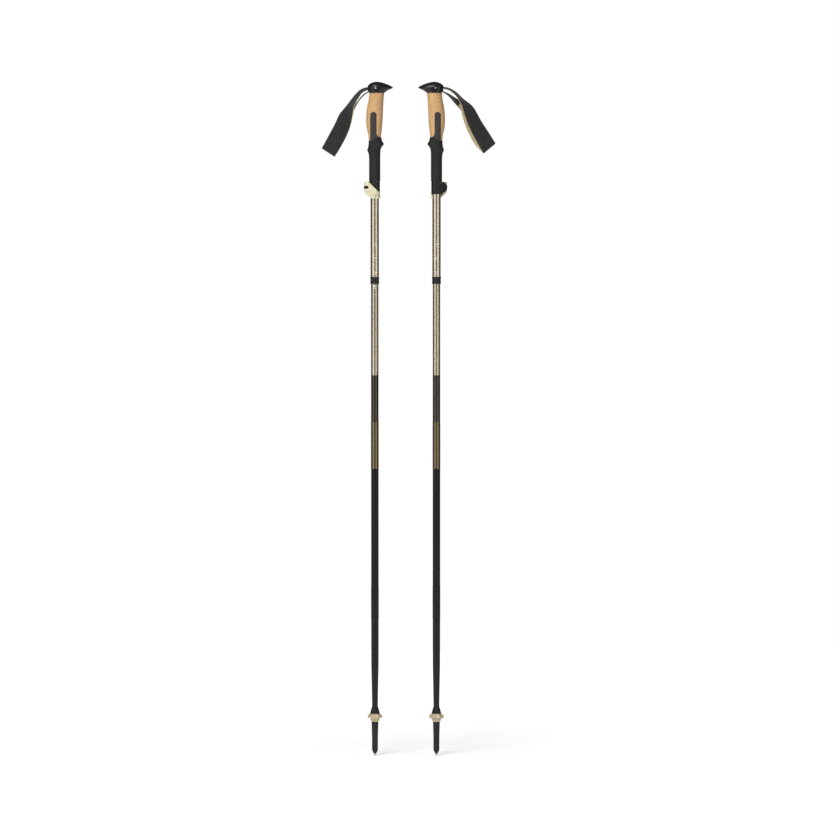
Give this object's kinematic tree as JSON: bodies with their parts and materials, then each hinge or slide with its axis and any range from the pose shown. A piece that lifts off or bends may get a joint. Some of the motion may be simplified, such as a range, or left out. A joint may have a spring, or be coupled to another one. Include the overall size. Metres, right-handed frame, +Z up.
{
  "type": "folding trekking poles",
  "caption": "Folding trekking poles with cork and foam grips, wrist straps, lever length clamps, snap-button sliding shafts, cord-held folding sections and baskets",
  "frame": {"origin": "on the ground, half way between the two tips", "axes": "+Z up along the shafts, +X from the left pole to the right pole, +Y away from the left pole's clamp lever"},
  "size_m": [0.316, 0.03, 1.25],
  "materials": {
    "black_plastic": "moulded black nylon, satin",
    "black_foam": "closed-cell black foam, matte",
    "black_webbing": "black woven webbing with a khaki lining",
    "cork": "fine-grained natural cork, sanded",
    "champagne_tube": "champagne anodised aluminium, satin",
    "banded_shaft": "champagne anodised aluminium, dark brown over its lowest 86 mm",
    "bronze_tube": "olive bronze anodised aluminium, satin",
    "black_shaft": "black coated aluminium, satin",
    "cream_plastic": "moulded cream nylon",
    "dark_steel": "black oxide steel",
    "bright_steel": "bright steel",
    "cord_sheath": "grey sheathed tension cord"
  },
  "bodies": {
    "left_grip": {"left_grip_head": "black_plastic", "left_strap_pin": "bright_steel", "left_strap_anchor": "black_webbing", "left_cork_grip": "cork", "left_foam_grip": "black_foam", "left_grip_tube": "champagne_tube", "left_clamp_body": "black_plastic", "left_clamp_screw": "dark_steel", "left_clamp_barrel": "dark_steel"},
    "left_strap": {"left_wrist_strap": "black_webbing"},
    "left_lever": {"left_clamp_lever": "cream_plastic"},
    "left_upper": {"left_upper_tube": "champagne_tube", "left_cord_anchor": "black_plastic", "left_tube_collar": "black_plastic", "left_tension_cord": "cord_sheath"},
    "left_fold": {"left_fold_shaft": "banded_shaft", "left_shaft_guide": "black_plastic", "left_button_spring": "bright_steel", "left_upper_spigot": "black_plastic"},
    "left_button": {"left_push_button": "bright_steel"},
    "left_mid": {"left_mid_shaft": "black_shaft", "left_mid_ferrule": "bronze_tube", "left_lower_spigot": "black_plastic"},
    "left_lower": {"left_lower_shaft": "black_shaft", "left_lower_ferrule": "black_shaft", "left_cord_stopper": "black_plastic", "left_basket": "cream_plastic", "left_tip_body": "black_plastic", "left_tip_point": "bright_steel"},
    "right_grip": {"right_grip_head": "black_plastic", "right_strap_pin": "bright_steel", "right_strap_anchor": "black_webbing", "right_cork_grip": "cork", "right_foam_grip": "black_foam", "right_grip_tube": "champagne_tube", "right_clamp_body": "black_plastic", "right_clamp_screw": "dark_steel", "right_clamp_barrel": "dark_steel"},
    "right_strap": {"right_wrist_strap": "black_webbing"},
    "right_lever": {"right_clamp_lever": "cream_plastic"},
    "right_upper": {"right_upper_tube": "champagne_tube", "right_cord_anchor": "black_plastic", "right_tube_collar": "black_plastic", "right_tension_cord": "cord_sheath"},
    "right_fold": {"right_fold_shaft": "banded_shaft", "right_shaft_guide": "black_plastic", "right_button_spring": "bright_steel", "right_upper_spigot": "black_plastic"},
    "right_button": {"right_push_button": "bright_steel"},
    "right_mid": {"right_mid_shaft": "black_shaft", "right_mid_ferrule": "bronze_tube", "right_lower_spigot": "black_plastic"},
    "right_lower": {"right_lower_shaft": "black_shaft", "right_lower_ferrule": "black_shaft", "right_cord_stopper": "black_plastic", "right_basket": "cream_plastic", "right_tip_body": "black_plastic", "right_tip_point": "bright_steel"}
  },
  "joints": [
    {"name": "left_strap_swing", "type": "hinge", "parent": "left_grip", "child": "left_strap", "pos_m": [-0.0731, 0, 1.2346], "axis": [0, 1, 0], "range_deg": [0, 75]},
    {"name": "left_lever_swing", "type": "hinge", "parent": "left_grip", "child": "left_lever", "pos_m": [-0.0707, -0.0079, 1.0553], "axis": [0, 0, -1], "range_deg": [0, 155]},
    {"name": "left_length_slide", "type": "slide", "parent": "left_grip", "child": "left_upper", "axis": [0, 0, 1], "range_m": [0, 0.11]},
    {"name": "left_shaft_release", "type": "slide", "parent": "left_upper", "child": "left_fold", "axis": [0, 0, 1], "range_m": [0, 0.0754], "deforming": ["left_push_button"]},
    {"name": "left_button_press", "type": "slide", "parent": "left_fold", "child": "left_button", "axis": [0, 1, 0], "range_m": [0, 0.0024], "stiffness_N_per_m": 800, "deforming": ["left_button_spring"]},
    {"name": "left_upper_fold", "type": "hinge", "parent": "left_fold", "child": "left_mid", "pos_m": [-0.0571, 0.012, 0.6215], "axis": [1, 0, 0], "range_deg": [0, 180], "deforming": ["left_tension_cord"]},
    {"name": "left_lower_fold", "type": "hinge", "parent": "left_mid", "child": "left_lower", "pos_m": [-0.0571, -0.012, 0.316], "axis": [1, 0, 0], "range_deg": [-180, 0]},
    {"name": "pole_spacing", "type": "slide", "parent": "left_grip", "child": "right_grip", "axis": [1, 0, 0], "range_m": [0, 0.3]},
    {"name": "right_strap_swing", "type": "hinge", "parent": "right_grip", "child": "right_strap", "pos_m": [0.0731, 0, 1.2346], "axis": [0, -1, 0], "range_deg": [0, 75]},
    {"name": "right_lever_swing", "type": "hinge", "parent": "right_grip", "child": "right_lever", "pos_m": [0.0707, 0.0079, 1.0553], "axis": [0, 0, -1], "range_deg": [0, 155]},
    {"name": "right_length_slide", "type": "slide", "parent": "right_grip", "child": "right_upper", "axis": [0, 0, 1], "range_m": [0, 0.11]},
    {"name": "right_shaft_release", "type": "slide", "parent": "right_upper", "child": "right_fold", "axis": [0, 0, 1], "range_m": [0, 0.0754], "deforming": ["right_push_button"]},
    {"name": "right_button_press", "type": "slide", "parent": "right_fold", "child": "right_button", "axis": [0, -1, 0], "range_m": [0, 0.0024], "stiffness_N_per_m": 800, "deforming": ["right_button_spring"]},
    {"name": "right_upper_fold", "type": "hinge", "parent": "right_fold", "child": "right_mid", "pos_m": [0.0571, -0.012, 0.6215], "axis": [-1, 0, 0], "range_deg": [0, 180], "deforming": ["right_tension_cord"]},
    {"name": "right_lower_fold", "type": "hinge", "parent": "right_mid", "child": "right_lower", "pos_m": [0.0571, 0.012, 0.316], "axis": [-1, 0, 0], "range_deg": [-180, 0]}
  ],
  "couplings": [
    {"joint": "left_lower_fold", "follows": "left_upper_fold", "ratio": -1},
    {"joint": "left_shaft_release", "follows": "left_upper_fold", "m_per_rad": 0.024},
    {"joint": "right_lower_fold", "follows": "right_upper_fold", "ratio": -1},
    {"joint": "right_shaft_release", "follows": "right_upper_fold", "m_per_rad": 0.024}
  ]
}
